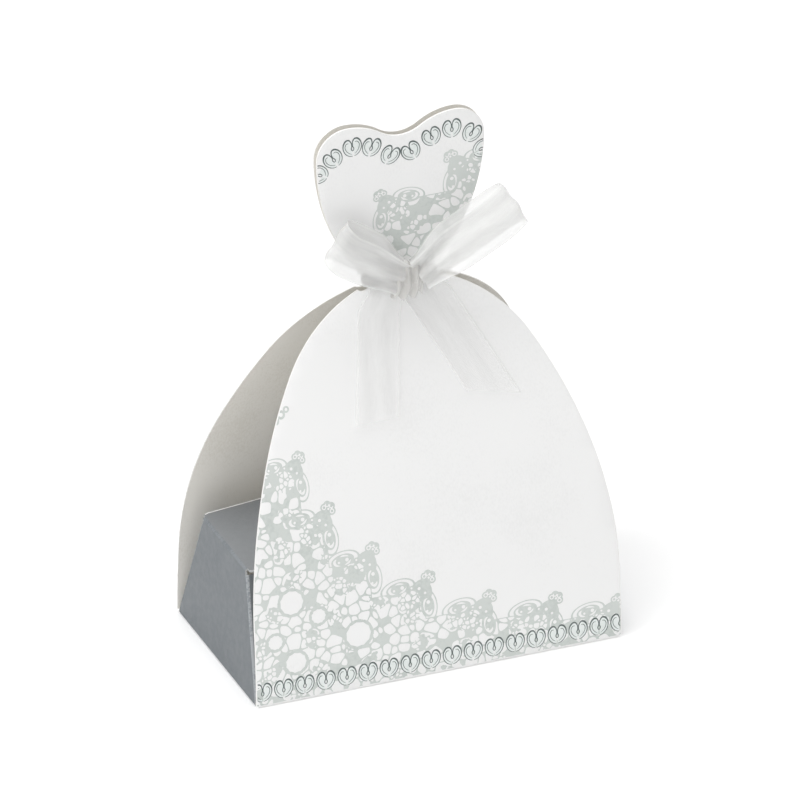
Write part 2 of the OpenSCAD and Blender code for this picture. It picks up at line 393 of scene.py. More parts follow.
def skirt_outline(panel, top):
    side_c = (half_w - side_r, hem_h)
    shoulder_a = math.asin((shoulder_h - hem_h) / side_r)
    shoulder_c = (
        side_c[0] + (side_r - shoulder_r) * math.cos(shoulder_a),
        side_c[1] + (side_r - shoulder_r) * math.sin(shoulder_a),
    )
    notch_c = (notch_x, waist_h)
    horn = meet(shoulder_c, shoulder_r, notch_c, notch_r, upper=False)
    neck = (notch_x - math.sqrt(notch_r**2 - (waist_h - top) ** 2), top)
    half = line((0, panel.foot), (base_half_w, panel.foot))
    half += line((base_half_w, panel.foot), (base_half_w, panel.tangent), 0.12)
    half += line((base_half_w, panel.tangent), (half_w, panel.tangent), 0.3)
    half += line((half_w, panel.tangent), (half_w, hem_h))
    half += arc(side_c, side_r, 0, shoulder_a)
    half += arc(shoulder_c, shoulder_r, shoulder_a, angle_to(shoulder_c, horn))
    start = angle_to(notch_c, horn)
    end = angle_to(notch_c, neck) - 2 * math.pi if angle_to(notch_c, neck) > 0 else angle_to(notch_c, neck)
    half += arc(notch_c, notch_r, start, end, 0.25)
    half += line(neck, (0, top), 1.2)
    half.append((0, top))
    return mirrored(half)


def bodice_outline(panel):
    lobe_c = (bodice_w / 2 - lobe_r, bodice_h - lobe_r)
    slope_c = (lobe_c[0], bodice_h - lobe_slope_r)
    cleft_z = bodice_h - cleft_depth
    rise = cleft_z - slope_c[1]
    cleft_r = (slope_c[0] ** 2 + rise**2 - lobe_slope_r**2) / (2 * (lobe_slope_r - rise))
    cleft_c = (0, cleft_z + cleft_r)
    side_c = (bodice_w / 2 - bodice_side_r, lobe_c[1])
    notch_c = (notch_x, 0)
    foot = panel.foot
    neck = (notch_x - math.sqrt(notch_r**2 - foot**2), foot)
    horn = meet(side_c, bodice_side_r, notch_c, notch_r, upper=True)
    half = line((0, foot), neck)
    start = angle_to(notch_c, neck) % (2 * math.pi)
    half += arc(notch_c, notch_r, start, angle_to(notch_c, horn), 0.25)
    half += arc(side_c, bodice_side_r, angle_to(side_c, horn), 0)
    half += arc(lobe_c, lobe_r, 0, math.pi / 2, 0.5)
    join = angle_to(slope_c, cleft_c)
    half += arc(slope_c, lobe_slope_r, math.pi / 2, join, 0.6)
    half += arc(cleft_c, cleft_r, join - math.pi, -math.pi / 2, 0.5)
    half.append((0, cleft_z))
    return mirrored(half)


def half_width(outline):
    """The half width of a stretch of outline, as a function of t."""
    right = np.array([p for p in outline if p[0] > 0])
    order = np.argsort(right[:, 1])
    return lambda t: np.interp(t, right[order, 1], right[order, 0])


# ---- materials

def socket(tree, target, value):
    """Sets an input to a value, or links another node's output to it."""
    if isinstance(value, bpy.types.NodeSocket):
        tree.links.new(value, target)
    else:
        target.default_value = value


def node(tree, kind, inputs=None, **settings):
    """A new node with its settings and inputs. Returns the node."""
    made = tree.nodes.new(kind)
    for key, value in settings.items():
        setattr(made, key, value)
    for key, value in (inputs or {}).items():
        socket(tree, made.inputs[key], value)
    return made


def shader(name, **constants):
    """A new material whose Principled shader has constant inputs, set by name, and its node tree."""
    material = bpy.data.materials.new(name)
    material.use_nodes = True
    tree = material.node_tree
    for key, value in constants.items():
        paint(tree, key.replace("_", " "), value)
    return material, tree


def paint(tree, key, value):
    """Sets or links an input of the Principled shader."""
    socket(tree, tree.nodes["Principled BSDF"].inputs[key], value)


def noise(tree, size, detail=2.0, stretch=(1, 1, 1)):
    """Noise whose features are about size millimetres across, as a factor."""
    place = node(tree, "ShaderNodeTexCoord").outputs["Object"]
    scaled = node(tree, "ShaderNodeMapping", {"Vector": place, "Scale": stretch}).outputs[0]
    inputs = {"Vector": scaled, "Scale": 1 / (size * MM), "Detail": detail}
    return node(tree, "ShaderNodeTexNoise", inputs).outputs[0]


def ramp(tree, factor, low, high, start=0.0, end=1.0):
    """A colour that runs from low to high as the factor runs from start to end, which is 1 at most."""
    made = node(tree, "ShaderNodeValToRGB", {"Fac": factor})
    for element, position, colour in zip(made.color_ramp.elements, (start, end), (low, high)):
        element.position = position
        element.color = (*colour, 1)
    return made.outputs[0]


def span(tree, factor, low, high, start=0.0, end=1.0):
    """A number that runs from low to high as the factor runs from start to end."""
    inputs = {"Value": factor, "From Min": start, "From Max": end, "To Min": low, "To Max": high}
    return node(tree, "ShaderNodeMapRange", inputs).outputs[0]


def combine(tree, operation, *inputs, clamp=False):
    """A sum, product or other function of one or two numbers."""
    inputs = dict(enumerate(inputs))
    return node(tree, "ShaderNodeMath", inputs, operation=operation, use_clamp=clamp).outputs[0]


def bump(tree, height, depth):
    """Bump whose full height is depth millimetres."""
    made = node(tree, "ShaderNodeBump", {"Height": height, "Distance": depth * MM, "Strength": 1.0})
    paint(tree, "Normal", made.outputs[0])


def uneven_material(name, low, high, start, fine, broad, depth, **constants):
    """A surface whose colour runs from low to high by a fine and a broad noise together.

    start is the sum of the two noises up to which it is low. The fine one is also its bump, depth high."""
    material, tree = shader(name, **constants)
    fine, broad = noise(tree, *fine), noise(tree, *broad)
    paint(tree, "Base Color", ramp(tree, combine(tree, "ADD", fine, broad), low, high, start))
    bump(tree, fine, depth)
    return material, tree, fine


def card_material(name, low, high, roughness, fibre_depth):
    """Card: its colour drifts a little, its fibres show as fine bump, and its grain as roughness."""
    fibres, drift = (0.35, 4, (1, 1, 0.45)), (22, 3)
    material, tree, _ = uneven_material(
        name, low, high, 0.7, fibres, drift, fibre_depth, Specular_IOR_Level=0.4
    )
    paint(tree, "Roughness", span(tree, noise(tree, 1.6, 2), roughness - 0.07, roughness + 0.07, 0.3, 0.7))
    return material


def crease_material(name, printed, core_and_highlight):
    """Printed card along a crease, lighter at its high end: partly wear, where the print has cracked and the
    card shows through, partly a painted highlight along the fold.
    """
    return uneven_material(name, printed, core_and_highlight, 0.85, (0.5, 4), (7, 2), 0.02, Roughness=0.7)[0]


def edge_material(name, low, high):
    """The cut edge of the card, with its plies as fine layers."""
    return uneven_material(name, low, high, 0.7, (0.3, 3), (2.5, 2), 0.03, Roughness=0.8)[0]


def ink_material(name, low, high, roughness):
    """Ink: slightly uneven in tone, as print on coated card is."""
    material, tree, mottle = uneven_material(
        name, low, high, 0.75, (0.8, 3), (9, 2), 0.004, Specular_IOR_Level=0.4
    )
    paint(tree, "Roughness", span(tree, mottle, roughness, roughness + 0.1, 0.3, 0.7))
    return material


def organza_material(name, low, high, cover):
    """Sheer plain weave: fine threads both ways, slight slubs and a closer selvedge at both sides."""
    thread_pitch = 0.18
    material, tree = shader(name, Roughness=0.6, Sheen_Weight=0.15, Specular_IOR_Level=0.2)
    uv = node(tree, "ShaderNodeUVMap", uv_map="Weave").outputs[0]
    across, along, _ = node(tree, "ShaderNodeSeparateXYZ", {0: uv}).outputs
    turns = [combine(tree, "MULTIPLY", at, 2 * math.pi / thread_pitch) for at in (across, along)]
    weave = combine(tree, "MAXIMUM", *[combine(tree, "SINE", turn) for turn in turns])
    off_middle = combine(tree, "ABSOLUTE", across)
    selvedge = span(tree, off_middle, 0.0, 0.05, ribbon_w / 2 - 0.6, ribbon_w / 2 - 0.3)
    slubs_at = node(tree, "ShaderNodeMapping", {"Vector": uv, "Scale": (0.9, 0.15, 1)}).outputs[0]
    slubs = node(tree, "ShaderNodeTexNoise", {"Vector": slubs_at, "Scale": 1.0, "Detail": 3}).outputs[0]
    thread_alpha = span(tree, weave, cover - 0.06, cover + 0.04, -0.2, 1.0)
    uneven = span(tree, slubs, -0.015, 0.02, 0.3, 0.7)
    alpha = combine(tree, "ADD", combine(tree, "ADD", thread_alpha, uneven), selvedge, clamp=True)
    paint(tree, "Alpha", alpha)
    paint(tree, "Base Color", ramp(tree, slubs, low, high, 0.3, 0.7))
    bump(tree, weave, 0.006)
    return material


WHITE_PRINT = card_material("card_outer_white", (0.885, 0.885, 0.880), (0.925, 0.925, 0.920), 0.48, 0.006)
GREY_PRINT = card_material("card_outer_grey", (0.150, 0.166, 0.180), (0.170, 0.187, 0.201), 0.5, 0.006)
# The dust flap is the wall's printed grey painted lighter and less blue: painted light, and a painted
# reflection of the warm inside.
FLAP_PRINT_PAINTED_LIGHT = card_material("card_flap_grey_painted_light", (0.205, 0.216, 0.226), (0.228, 0.239, 0.249), 0.5, 0.006)
INNER = card_material("card_inner", (0.83, 0.805, 0.745), (0.90, 0.88, 0.83), 0.8, 0.02)
CUT_EDGE = edge_material("card_cut_edge", (0.80, 0.79, 0.76), (0.93, 0.925, 0.91))
GREY_CUT_EDGE = edge_material("card_grey_cut_edge", (0.30, 0.32, 0.34), (0.52, 0.53, 0.53))
WHITE_CREASE = crease_material("card_white_crease", (0.88, 0.88, 0.875), (0.93, 0.93, 0.92))
# Creases on grey card are lighter than its print: partly cracked print, partly a painted highlight along the
# fold; the tucks' crease is lighter still, more painted highlight.
TUCK_CREASE_WEAR_AND_HIGHLIGHT = crease_material("card_tuck_crease_wear_and_highlight", (0.25, 0.27, 0.29), (0.38, 0.40, 0.42))
GREY_CREASE_WEAR_AND_HIGHLIGHT = crease_material("card_grey_crease_wear_and_highlight", (0.185, 0.203, 0.219), (0.232, 0.250, 0.266))
LACE_INK = ink_material("lace_ink", (0.585, 0.625, 0.600), (0.655, 0.690, 0.665), 0.55)
CURL_INK = ink_material("curl_ink", (0.075, 0.100, 0.098), (0.115, 0.145, 0.140), 0.45)
MINT_INK = ink_material("mint_ink", (0.80, 0.845, 0.828), (0.85, 0.885, 0.872), 0.55)
# The ribbon's white, darkened on the ties and loops: painted shade.
ORGANZA_PAINTED_SHADE = organza_material("organza", (0.84, 0.84, 0.83), (0.87, 0.87, 0.86), 0.36)
# The same ribbon, lighter and sheerer on the tails: painted light.
TAIL_ORGANZA_PAINTED_LIGHT = organza_material("organza_tail_painted_light", (0.93, 0.93, 0.925), (0.96, 0.96, 0.955), 0.15)
# The same ribbon in the knot, darker and with a warm tint; the darkening is painted shade.
KNOT_ORGANZA_PAINTED_SHADE = organza_material("organza_knot_painted_shade", (0.84, 0.83, 0.805), (0.88, 0.87, 0.85), 0.40)

WHITE_CARD = [WHITE_PRINT, INNER, CUT_EDGE, WHITE_CREASE]
GREY_CARD = [GREY_PRINT, INNER, GREY_CUT_EDGE, GREY_CREASE_WEAR_AND_HIGHLIGHT]
FLAP_CARD = [FLAP_PRINT_PAINTED_LIGHT, INNER, GREY_CUT_EDGE, GREY_CREASE_WEAR_AND_HIGHLIGHT, CUT_EDGE]
TUCK_CARD = [GREY_PRINT, INNER, GREY_CUT_EDGE, TUCK_CREASE_WEAR_AND_HIGHLIGHT]


# ---- the folded card

quarter = math.pi / 2
wall_tilt = math.atan2(wall_lean, wall_h)
wall_len = math.hypot(wall_lean, wall_h)
wall_narrowing = wall_foot_y - wall_top_y
waist_radius = 0.8
# Gaps that keep the flaps free of their neighbours, and the corner that is cut off a tuck flap
flap_crease_gap = 0.4
tuck_foot_gap = 0.9
tuck_top_gap = 0.3
tuck_crease_gap = 0.5
tuck_corner_x = 2
tuck_corner_z = 4

# The base is flat, so its sheet has hardly any fold
flat_bend = 0.001
base_sheet = Panel((0, -half_d, 0), (1, 0, 0), (0, 1, 0), (0, 0, -1), flat_bend)
wall_crease = Panel((0, 0, 0), (0, 1, 0), (1, 0, 0), (0, 0, 1), quarter + wall_tilt)
base_x = half_w - wall_crease.tangent
base_far = 2 * half_d - crease_r
base_outline = [(-base_x, crease_r), (base_x, crease_r), (base_x, base_far), (-base_x, base_far)]
base_card = card_piece("base_card", base_sheet, densified(base_outline, edge_step), WHITE_CARD, cut=0)
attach(base_card, "base")
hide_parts("base_panel")

# Each front or left vector is multiplied by flip for its twin on the other side of the box
skirts, bodices = {}, {}
for side, facing in (("front", 1), ("back", -1)):
    flip = np.array((facing, facing, 1))
    foot, along = flip * (0, -half_d, 0), flip * (1, 0, 0)
    skirt = Panel(foot, along, (0, 0, 1), flip * (0, -1, 0), quarter, curve=skirt_curve)
    waist = flip * (0, -waist_y, waist_h)
    up = flip * (0, -math.sin(bodice_splay), math.cos(bodice_splay))
    out = flip * (0, -math.cos(bodice_splay), -math.sin(bodice_splay))
    bodice = Panel(waist, along, up, out, waist_lean + bodice_splay, radius=-waist_radius)

    top = waist_h - bodice.tangent * math.cos(waist_lean)
    shape = skirt_outline(skirt, top)
    piece = card_piece(f"{side}_skirt_card", skirt, shape, WHITE_CARD, ends_at=top)
    skirt.bends_with(piece)
    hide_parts(f"{side}_skirt")
    skirts[side] = (skirt, half_width([p for p in shape if p[1] < waist_h - 4]))

    shape = bodice_outline(bodice)
    piece = card_piece(f"{side}_bodice_card", bodice, shape, WHITE_CARD)
    bodice.bends_with(piece)
    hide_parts(f"{side}_bodice")
    bodices[side] = (bodice, half_width([p for p in shape if 2.5 < p[1] and abs(p[0]) > 9]))


def flap_chip(flat):
    """The print stops short of the dust flap's back edge and hardly chips anywhere else."""
    return np.where((flat[:, 0] > wall_top_y - 1.5) & (flat[:, 1] < dust_straight), 0.45, 0.03)


for side, hand in (("left", 1), ("right", -1)):
    flip = np.array((hand, 1, 1))
    away = flip * (wall_lean, 0, wall_h)
    outward = flip * (-wall_h, 0, wall_lean)
    wall = Panel(flip * (-half_w, 0, 0), (0, 1, 0), away, outward, quarter + wall_tilt)

    # The flap's outer face is its top one, so the crease's outer corner is the card's thickness higher
    flap_away = flip * (math.cos(dust_rise), 0, math.sin(dust_rise))
    flap_out = flip * (-math.sin(dust_rise), 0, math.cos(dust_rise))
    flap_corner = flip * (-half_w + wall_lean, 0, wall_h + card_t)
    flap = Panel(flap_corner, (0, 1, 0), flap_away, flap_out, math.acos(float(unit(away) @ flap_away)))

    wall_top = wall_len + card_t - flap.tangent
    foot_half = wall_foot_y - crease_r * (math.hypot(wall_narrowing, wall_len) / wall_len)
    top_half = foot_half - wall_narrowing / wall_len * wall_top
    shape = [(-foot_half, wall.foot), (foot_half, wall.foot), (foot_half, wall.tangent)]
    shape += [(top_half, wall_top), (-top_half, wall_top), (-foot_half, wall.tangent)]
    piece = card_piece(f"{side}_side_wall_card", wall, shape, GREY_CARD, cut=0)
    wall.bends_with(piece)
    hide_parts(f"{side}_side_wall")

    ear_half = wall_top_y + dust_ear
    ear_x = math.sqrt(dust_ear_r**2 - (dust_ear_r - dust_ear) ** 2)
    ear_start = -math.asin(min(1, (ear_x - flap.tangent) / dust_ear_r))
    crease_half = wall_top_y - flap_crease_gap
    half = [(crease_half, flap.foot), (crease_half, flap.tangent)]
    half += arc((ear_half - dust_ear_r, ear_x), dust_ear_r, ear_start, 0, 0.25)
    half += [(ear_half, dust_straight), (dust_end_w / 2, dust_len)]
    shape = [(0, flap.foot), *half, (0, dust_len), *[(-x, y) for x, y in reversed(half)]]
    piece = card_piece(f"{side}_dust_flap_card", flap, shape, FLAP_CARD, cut=flap_chip)
    flap.bends_with(piece)
    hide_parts(f"{side}_dust_flap")

    for end, toward in (("front", 1), ("back", -1)):
        both = np.array((hand, toward, 1))
        slant = both * (wall_lean, wall_narrowing, wall_h)
        foot = both * (-half_w, -wall_foot_y, 0)
        inward = np.array((hand, 0, 0))
        tuck_away = inward - (inward @ unit(slant)) * unit(slant)
        tuck_out = np.cross(unit(slant), unit(tuck_away))
        if tuck_out[1] * toward > 0:
            tuck_out = -tuck_out
        bend = math.acos(float(np.clip(unit(outward) @ unit(tuck_out), -1, 1)))
        tuck = Panel(foot, slant, tuck_away, tuck_out, bend)

        # Corners as the distance in from the wall's outer face and the height
        low_z, high_z = card_t + tuck_foot_gap, wall_h - tuck_top_gap
        places = [(0, low_z), (0, high_z), (tuck_w - tuck_corner_x, high_z), (tuck_w, high_z - tuck_corner_z)]
        places.append((tuck_foot_w, low_z))
        low, high, *rest = [tuck.flattened(foot + slant * z / wall_h + inward * x) for x, z in places]
        foot_s, top_s = low[0], high[0] - tuck_crease_gap
        shape = [(foot_s, tuck.foot), (top_s, tuck.foot), (top_s, tuck.tangent), *rest]
        shape.append((foot_s, tuck.tangent))
        piece = card_piece(f"{side}_{end}_tuck_card", tuck, shape, TUCK_CARD, step=(2.0, 2.0), cut=0)
        tuck.bends_with(piece)
        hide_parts(f"{side}_{end}_tuck_flap")


# ---- print

ink_lift = 0.022
mint_lift = 0.012
lace_lift = 0.006
print_step = 0.15
# What stays bare along a panel's sides
lace_margin = 0.12


def ink_film(name, field, grid, panel, lift, material):
    """A film of ink wherever the field is negative: marching squares, with whole cells joined into runs."""
    xs, zs = grid[0][0], grid[1][:, 0]
    rows, columns = field.shape
    corner_of = [(0, 0), (0, 1), (1, 1), (1, 0)]
    here = [field[di : rows - 1 + di, dj : columns - 1 + dj] < 0 for di, dj in corner_of]
    code = sum(part.astype(int) << k for k, part in enumerate(here))
    corner_id = np.arange(rows * columns).reshape(rows, columns)
    across_id = rows * columns + corner_id
    upright_id = 2 * rows * columns + corner_id
    faces = []
    for case in range(1, 15):
        i, j = np.nonzero(code == case)
        edges = [across_id[i, j], upright_id[i, j + 1], across_id[i + 1, j], upright_id[i, j]]
        polygon = []
        for k, (di, dj) in enumerate(corner_of):
            if case >> k & 1:
                polygon.append(corner_id[i + di, j + dj])
            if (case >> k & 1) != (case >> (k + 1) % 4 & 1):
                polygon.append(edges[k])
        if len(i):
            faces.append(np.column_stack(polygon))
    whole = np.pad(code == 15, ((0, 0), (1, 1))).astype(int)
    change = np.diff(whole, axis=1)
    i0, j0 = np.nonzero(change == 1)
    i1, j1 = np.nonzero(change == -1)
    quad = (corner_id[i0, j0], corner_id[i0, j1], corner_id[i1 + 1, j1], corner_id[i0 + 1, j0])
    used, faces = compacted([*faces, np.column_stack(quad)])
    kind, index = used // (rows * columns), used % (rows * columns)
    i, j = index // columns, index % columns
    x, z = xs[j].astype(float), zs[i].astype(float)
    step_x, step_z = xs[1] - xs[0], zs[1] - zs[0]
    value = field[i, j]
    right = field[i, np.minimum(j + 1, columns - 1)]
    above = field[np.minimum(i + 1, rows - 1), j]
    with np.errstate(divide="ignore", invalid="ignore"):
        x += np.where(kind == 1, step_x * value / (value - right), 0)
        z += np.where(kind == 2, step_z * value / (value - above), 0)
    thing = make_object(name, panel.place(x, z, -lift), faces, [material])
    flat = np.column_stack([x, z])
    flat = (flat - flat.min(axis=0)) / (np.ptp(flat, axis=0).max() * 1.02) + 0.005
    set_uv(thing, "OFBake", flat[np.concatenate([f.ravel() for f in faces])])
    return thing


def disc(x, z, cx, cz, r):
    return np.hypot(x - cx, z - cz) - r


def oval(x, z, cx, cz, a, b, turn=0.0):
    """Roughly the distance to an ellipse with half axes a and b, turned anticlockwise in degrees."""
    c, s = math.cos(math.radians(turn)), math.sin(math.radians(turn))
    dx, dz = x - cx, z - cz
    return (np.hypot((dx * c + dz * s) / a, (dz * c - dx * s) / b) - 1) * min(a, b)


def band(distance, half):
    """A line that follows a shape's edge, half wide to each side of it."""
    return np.abs(distance) - half


def cells(x, z, pitch, wall, seed, solid=0.24):
    """Distance field of rounded holes of many sizes, as in crocheted lace. Negative inside a hole."""
    rng = np.random.default_rng(seed)
    i, j = np.floor(z / pitch).astype(int), np.floor(x / pitch).astype(int)
    low_i, low_j = i.min() - 2, j.min() - 2
    size = (i.max() - low_i + 4, j.max() - low_j + 4)
    off = rng.uniform(-0.46, 0.46, (2, *size))
    weight = rng.uniform(0, 0.62, size) ** 1.4 * pitch
    filled = rng.uniform(0, 1, size) < solid
    nearest = np.full((4, *x.shape), 1e3, np.float32)
    is_filled = np.zeros(x.shape, bool)
    for di in range(-2, 3):
        for dj in range(-2, 3):
            a, b = i - low_i + di, j - low_j + dj
            cx = (b + low_j + 0.5 + off[0][a, b]) * pitch
            cz = (a + low_i + 0.5 + off[1][a, b]) * pitch
            d = (np.hypot(x - cx, z - cz) - weight[a, b]).astype(np.float32)
            is_filled = np.where(d < nearest[0], filled[a, b], is_filled)
            for k in range(4):
                swap = d < nearest[k]
                nearest[k], d = np.where(swap, d, nearest[k]), np.where(swap, nearest[k], d)
    sharpness = 9 / pitch
    gap = -np.log(sum(np.exp(-sharpness * (nearest[k] - nearest[0])) for k in (1, 2, 3))) / sharpness / 2
    return np.where(is_filled, 1.0, wall - gap)


def tower(x, z, cx, cz, hand, size=1.0):
    """One tower of lace round its blossom: solid parts, holes, its net and what it keeps free of cells."""
    u, v = (x - cx) * hand / size, (z - cz) / size
    solid = disc(u, v, 0, 0, 1.2)
    holes = [disc(u, v, 0.1, 0.05, 0.26)]
    for angle in (-30, 35, 95, 150):
        a = math.radians(angle)
        solid = np.minimum(solid, disc(u, v, 1.0 * math.cos(a), 1.0 * math.sin(a), 0.85))
        holes.append(band(disc(u, v, 1.0 * math.cos(a), 1.0 * math.sin(a), 0.40), 0.11))
    solid = np.minimum(solid, oval(u, v, -2.0, -1.9, 2.6, 1.7, 30))
    solid = np.minimum(solid, oval(u, v, -0.7, -3.1, 1.4, 2.3, 0))
    left_leaf = oval(u, v, -7.0, -1.2, 2.7, 1.45, 8)
    right_leaf = oval(u, v, -0.35, -6.3, 1.4, 2.5, 5)
    for leaf in (left_leaf, right_leaf):
        solid = np.minimum(solid, leaf)
        solid = np.minimum(solid, band(leaf - 0.6, 0.12))
        holes.append(band(leaf + 0.42, 0.09) + 0.1 * np.sin(u * 2.1 + v))
    net = disc(u, v, -4.6, -4.6, 2.9)
    solid = np.minimum(solid, net - 0.35)
    for hx, hv, r in (
        (-2.2, -2.0, 0.36),
        (-6.0, -1.1, 0.42),
        (-7.9, -1.5, 0.28),
        (-0.3, -5.4, 0.42),
        (-0.9, -3.2, 0.30),
        (-3.9, -1.6, 0.25),
        (-0.6, -7.4, 0.28),
    ):
        holes.append(disc(u, v, hx, hv, r))
        solid = np.minimum(solid, disc(u, v, hx, hv, r + 0.3))
    hole = np.minimum.reduce(holes)
    kept = np.minimum(np.minimum(left_leaf, right_leaf), disc(u, v, -0.9, -1.8, 2.7))
    return solid * size, hole * size, net * size, kept * size


def lace_field(x, z, towers, hand, seed, big_holes, sprigs=()):
    """Lace that falls away in steps from tower to tower."""
    ground, solid, kept, hole, net = (np.full(x.shape, 1e3) for _ in range(5))
    for cx, cz, size in towers:
        body, openings, own_net, own = tower(x, z, cx, cz, hand, size)
        solid = np.minimum(solid, body)
        hole = np.minimum(hole, np.maximum(openings, own - 0.4))
        kept, net = np.minimum(kept, own), np.minimum(net, own_net)
        ground = np.minimum(ground, np.maximum((x - cx) * hand + 0.9 * size, z - (cz - 2.0 * size)))
    for cx, cz, r in sprigs:
        sprig = np.minimum(disc(x, z, cx, cz, r), disc(x, z, cx - 1.5 * r, cz - 1.2 * r, 0.9 * r))
        solid = np.minimum(solid, sprig)
        hole = np.minimum(hole, disc(x, z, cx, cz, 0.45 * r))
    mesh_holes = cells(x, z, 2.3, 0.12, seed, 0.15)
    fine_holes = cells(x, z, 1.05, 0.09, seed + 1, 0.3)
    patch = np.sin(x * 0.55 + 1.3 * np.sin(z * 0.31)) * np.cos(z * 0.47 + 0.9 * np.sin(x * 0.23))
    mesh_holes = np.where((patch > 0.5) | (net < -0.3), fine_holes, mesh_holes)
    mesh_holes = np.where(net < -0.3, mesh_holes, np.maximum(mesh_holes, 0.2 - kept))
    for cx, cz, r in big_holes:
        around = disc(x, z, cx, cz, r)
        scallops = 0.16 * np.abs(np.sin(5.5 * np.arctan2(z - cz, x - cx)))
        mesh_holes = np.where(around < 0.55, around + scallops, mesh_holes)
    mesh_holes = np.maximum(mesh_holes, ground + 0.2)
    return np.maximum(np.minimum(solid, ground), -np.minimum(hole, mesh_holes))


def smooth_path(points, count):
    """Points of a Catmull-Rom curve through given points."""
    p = np.array(points, float)
    p = np.vstack([2 * p[0] - p[1], p, 2 * p[-1] - p[-2]])
    out = []
    for t in np.linspace(0, len(points) - 1, count):
        k = min(int(t), len(points) - 2)
        f = t - k
        a, b, c, d = p[k : k + 4]
        curved = (2 * a - 5 * b + 4 * c - d) * f**2 + (3 * b - a - 3 * c + d) * f**3
        out.append(0.5 * (2 * b + (c - a) * f + curved))
    return np.array(out)


# Left half of a curl, whose foot is at 0, 0 and which is 4.4 tall: x, z and the line's width
curl_rim = [
    (-0.22, 0.05, 0.10),
    (-0.95, 0.28, 0.14),
    (-1.72, 1.05, 0.16),
    (-2.12, 2.20, 0.19),
    (-1.98, 3.35, 0.27),
    (-1.38, 4.15, 0.36),
    (-0.68, 4.22, 0.30),
    (-0.20, 3.55, 0.20),
    (-0.08, 2.60, 0.19),
    (-0.30, 1.95, 0.20),
    (-0.16, 1.48, 0.16),
    (0.0, 1.38, 0.16),
]
curl_inner = [
    (-0.75, 3.45, 0.08),
    (-1.30, 3.40, 0.15),
    (-1.66, 2.65, 0.14),
    (-1.42, 1.65, 0.12),
    (-0.85, 0.95, 0.10),
    (-0.38, 0.62, 0.07),
]
curl_rise = 4.4


def curl_marks(hand):
    """One half of a curl: its strokes as strips and its fill as rows, each a list of point pairs."""
    strokes = []
    for shape, count in ((curl_rim, 40), (curl_inner, 18)):
        path = smooth_path(shape, count)
        line_at = path[:, :2] * (hand, 1)
        way = np.gradient(line_at, axis=0)
        side = np.column_stack([-way[:, 1], way[:, 0]]) / np.linalg.norm(way, axis=1)[:, None]
        half = path[:, 2:] * 0.54
        strokes.append((line_at + side * half, line_at - side * half))
    rim = smooth_path(curl_rim, 60)[:40]
    top = int(rim[:, 1].argmax())
    rows = np.linspace(rim[0, 1] + 0.1, rim[top, 1] - 0.05, 12)
    outer = np.interp(rows, rim[: top + 1, 1], rim[: top + 1, 0])
    falling = rim[top:][::-1]
    inner = np.where(rows < 2.6, -0.14, np.interp(rows, falling[:, 1], falling[:, 0]))
    fill = (np.column_stack([outer * hand, rows]), np.column_stack([inner * hand, rows]))
    return strokes, [fill]


def curl_row(name, panel, places, half_at, lift, material, filled):
    """Curls at each x, z and turn, clipped at the panel's sides. filled picks their fill or their lines."""
    points, faces, count = [], [], 0
    for x, z, turn in places:
        c, s = math.cos(turn), math.sin(turn)
        for hand in (-1, 1):
            strokes, fills = curl_marks(hand)
            for one, other in fills if filled else strokes:
                pair = np.stack([one, other], axis=1) - (0, curl_rise / 2)
                flat = pair @ np.array([[c, s], [-s, c]]) + (x, z)
                limit = half_at(flat[..., 1]) - 0.12
                kept = (np.abs(flat[..., 0]) < limit).all(axis=1)
                flat = flat.reshape(-1, 2)
                points.append(panel.place(flat[:, 0], flat[:, 1], -lift))
                for k in range(len(one) - 1):
                    if kept[k] and kept[k + 1]:
                        a = count + 2 * k
                        faces.append((a, a + 1, a + 3, a + 2))
                count += 2 * len(one)
    points = np.vstack(points)
    used, (faces,) = compacted([np.array(faces)])
    points = points[used]
    normals = np.cross(points[faces[:, 1]] - points[faces[:, 0]], points[faces[:, 3]] - points[faces[:, 0]])
    wrong = normals @ panel.outward < 0
    faces[wrong] = faces[wrong][:, ::-1]
    return make_object(name, points, [faces], [material])


# Towers of lace as x, z and size, and sprigs and big holes as x, z and radius
skirt_towers = [
    (-28.6, 53.6, 0.9),
    (-23.4, 42.1, 1.0),
    (-14.2, 31.7, 1.0),
    (-1.9, 23.0, 1.02),
    (12.0, 15.9, 1.02),
    (27.3, 12.4, 1.02),
    (41.8, 9.0, 1.0),
]
skirt_sprigs = [(-31.2, 63.0, 0.95), (-29.9, 63.9, 0.7)]
skirt_big_holes = [(-33.6, 23.4, 2.7), (-18.6, 13.2, 2.9), (-37.8, 15.0, 1.7), (-33.2, 9.4, 2.4)]
skirt_big_holes.append((-27.6, 19.2, 1.7))
bodice_towers = [(-4.7, 20.2, 0.95), (11.6, 26.6, 1.0), (21.0, 25.0, 1.0)]
bodice_big_holes = [(7.6, 6.6, 2.2), (-2.6, 9.0, 1.2)]
skirt_lace_top = 66
bodice_lace_rows = (1.0, 34)

# Curls along the hem
hem_pitch = 4.9
hem_centre_z = 3.75
hem_curls = [(-41.1 + k * hem_pitch, hem_centre_z, 0.0) for k in range(18)]

# Curls round the top of the bodice: x, height of the middle above the waist, and turn in degrees
bodice_curls = [
    (-18.9, 28.25, 62),
    (-15.6, 31.45, 30),
    (-11.2, 33.45, 8),
    (-6.8, 32.65, -14),
    (-2.5, 29.85, -28),
    (2.4, 29.85, 28),
    (7.1, 32.45, 16),
    (11.8, 33.55, 2),
    (16.4, 31.55, -28),
    (18.9, 27.25, -66),
]
bodice_curls = [(x, z, math.radians(turn)) for x, z, turn in bodice_curls]


def print_grid(half, low, high):
    xs = np.arange(-half, half + print_step, print_step)
    return np.meshgrid(xs, np.arange(low, high, print_step))


